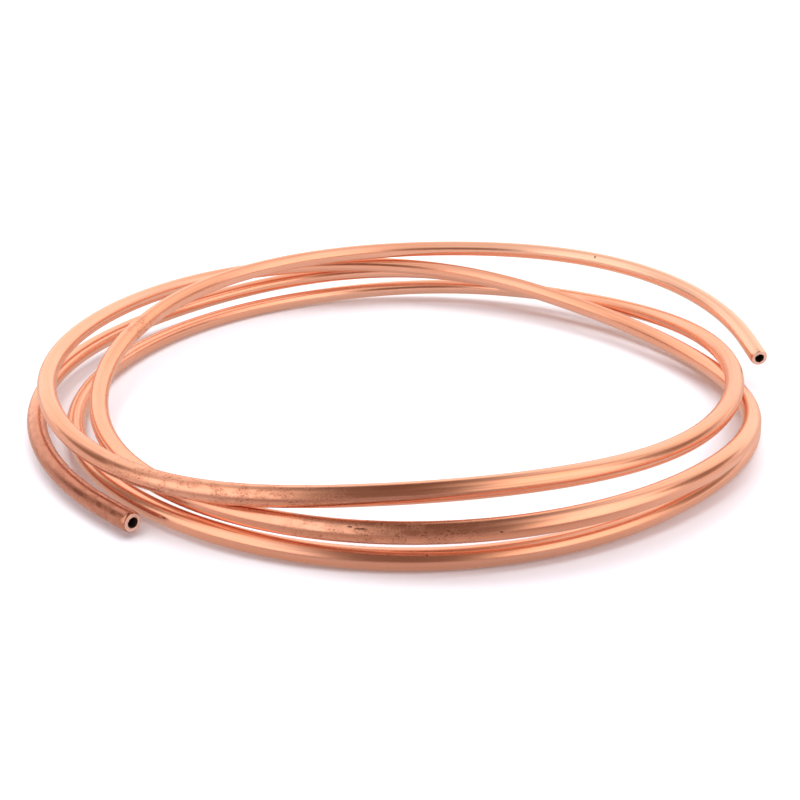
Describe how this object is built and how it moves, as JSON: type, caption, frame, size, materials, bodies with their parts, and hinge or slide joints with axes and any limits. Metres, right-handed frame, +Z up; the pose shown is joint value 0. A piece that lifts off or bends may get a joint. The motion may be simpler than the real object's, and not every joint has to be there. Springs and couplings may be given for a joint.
{
  "type": "coil of copper tube",
  "caption": "Loose coil of soft copper tube, laid flat, its turns wandering apart and crossing, both ends cut square and open.",
  "frame": {"origin": "middle of the coil's outline seen from above, on the floor that it lies on", "axes": "+Z up, +X and +Y across the coil, the first cut end lies on the floor toward -X -Y"},
  "size_m": [0.2501, 0.2357, 0.0272],
  "materials": {
    "copper": "satin"
  },
  "bodies": {
    "root": {"copper_tube": "copper"}
  },
  "joints": []
}
